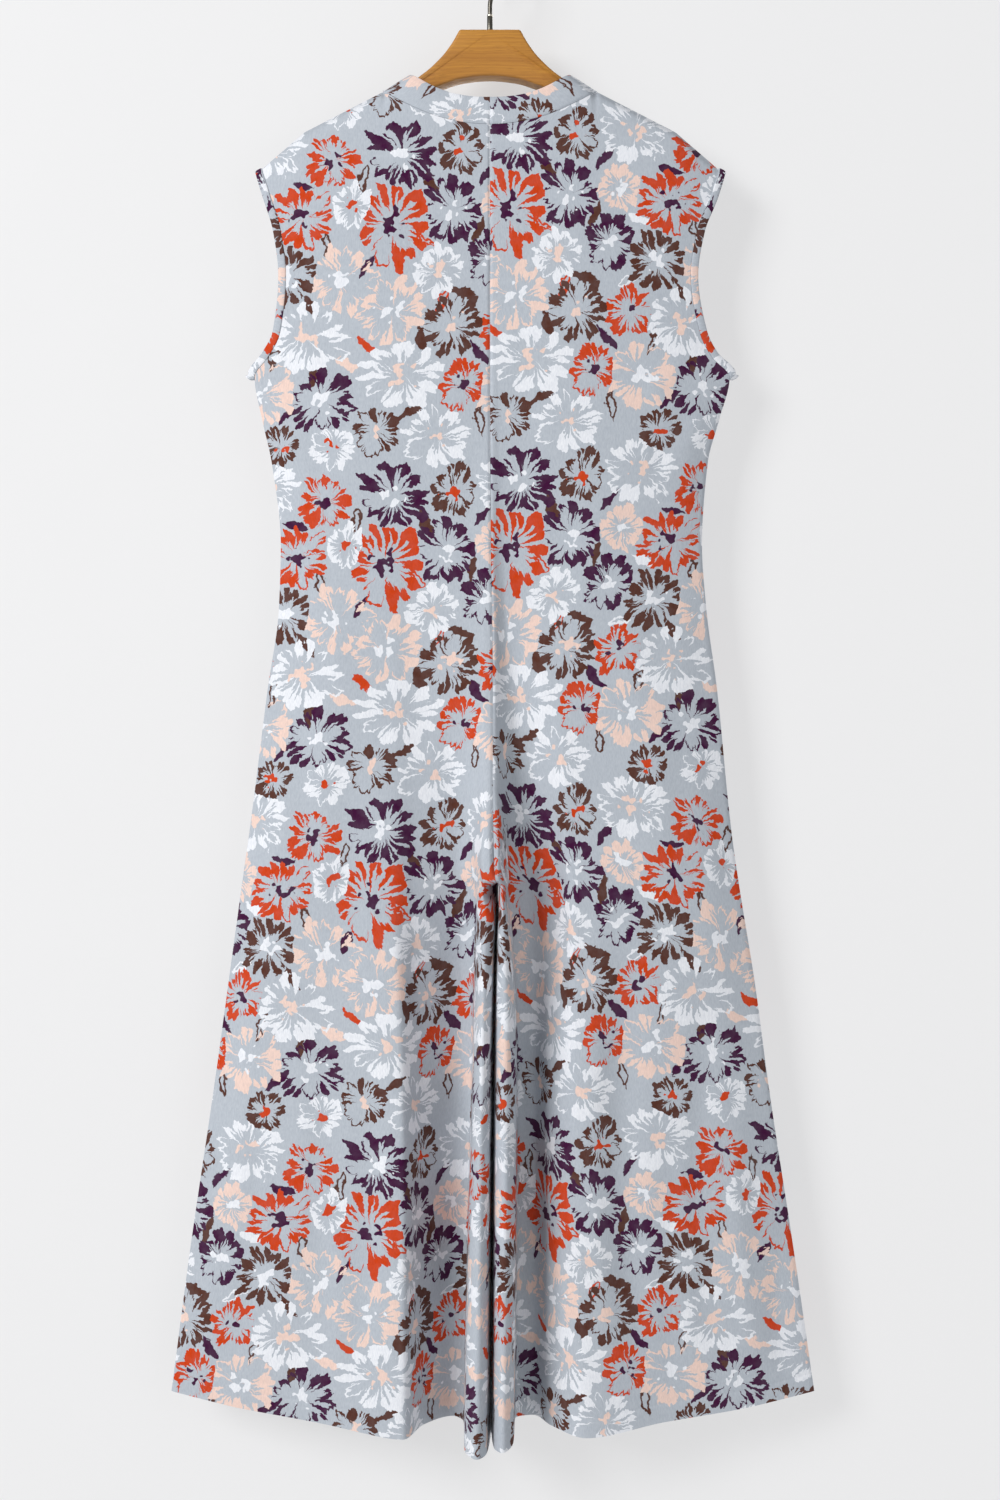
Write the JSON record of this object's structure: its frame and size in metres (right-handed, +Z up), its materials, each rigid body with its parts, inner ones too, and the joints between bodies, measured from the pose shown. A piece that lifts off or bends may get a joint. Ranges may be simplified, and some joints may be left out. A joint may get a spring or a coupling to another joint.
{
  "type": "jumpsuit on a hanger",
  "caption": "Sleeveless wide-leg jumpsuit in a floral print knit, with a stand collar and bound armholes, hanging flat from a wooden hanger with a metal hook.",
  "frame": {"origin": "inside top of the hanger's hook, where the part hangs", "axes": "+Z up, -Y out of the garment's back, +Y out of its front, -X the wearer's left"},
  "size_m": [0.668, 0.1183, 1.5407],
  "materials": {
    "floral_knit": "matte fine-ribbed knit, blue-grey ground printed with brush-drawn flowers in orange, dark purple, brown, peach and white",
    "wood": "clear satin lacquer over honey-coloured wood with a fine level grain",
    "steel": "polished dark nickel plating"
  },
  "bodies": {
    "root": {"back_left": "floral_knit", "back_right": "floral_knit", "front_left": "floral_knit", "front_right": "floral_knit", "collar": "floral_knit", "armhole_binding_left": "floral_knit", "armhole_binding_right": "floral_knit", "hanger_body": "wood", "hanger_hook": "steel"}
  },
  "joints": []
}
